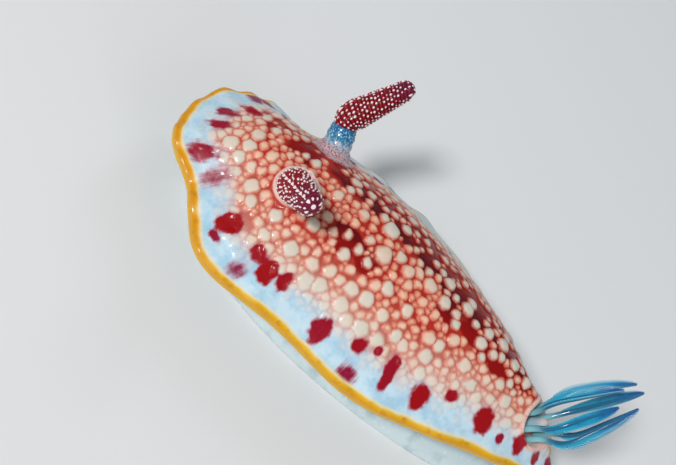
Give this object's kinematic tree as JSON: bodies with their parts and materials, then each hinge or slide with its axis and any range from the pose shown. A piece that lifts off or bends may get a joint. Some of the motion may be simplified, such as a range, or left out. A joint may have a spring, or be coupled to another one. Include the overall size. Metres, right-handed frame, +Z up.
{
  "type": "sea slug",
  "caption": "Reticulated dorid sea slug at life size, crawling on a flat sole under a broad frilled mantle, with lamellate rhinophores and a ring of gill plumes.",
  "frame": {"origin": "on the floor, in the middle of the sole's width, 29 mm behind the mantle's front edge", "axes": "+X towards the tail, -Y the animal's left side, +Z up from the floor"},
  "size_m": [0.0712, 0.032, 0.0232],
  "materials": {
    "mantle": "wet flesh: cream tubercles on a red net, a bluish white border with crimson blotches, a golden edge",
    "flesh": "wet translucent bluish white flesh",
    "stalk": "wet translucent blue flesh with white specks",
    "club": "wet dark red flesh, its lamellae dotted with white",
    "gill": "wet translucent blue flesh"
  },
  "bodies": {
    "root": {"anal_papilla": "flesh", "flanks": "flesh", "foot": "flesh", "gill_01": "gill", "gill_02": "gill", "gill_03": "gill", "gill_04": "gill", "gill_05": "gill", "gill_06": "gill", "head": "flesh", "mantle_front": "mantle", "mantle_middle": "mantle", "mantle_rear": "mantle", "oral_tentacle_left": "flesh", "oral_tentacle_right": "flesh", "rhinophore_club_left": "club", "rhinophore_club_right": "club", "rhinophore_stalk_left": "stalk", "rhinophore_stalk_right": "stalk", "tail": "flesh"}
  },
  "joints": []
}
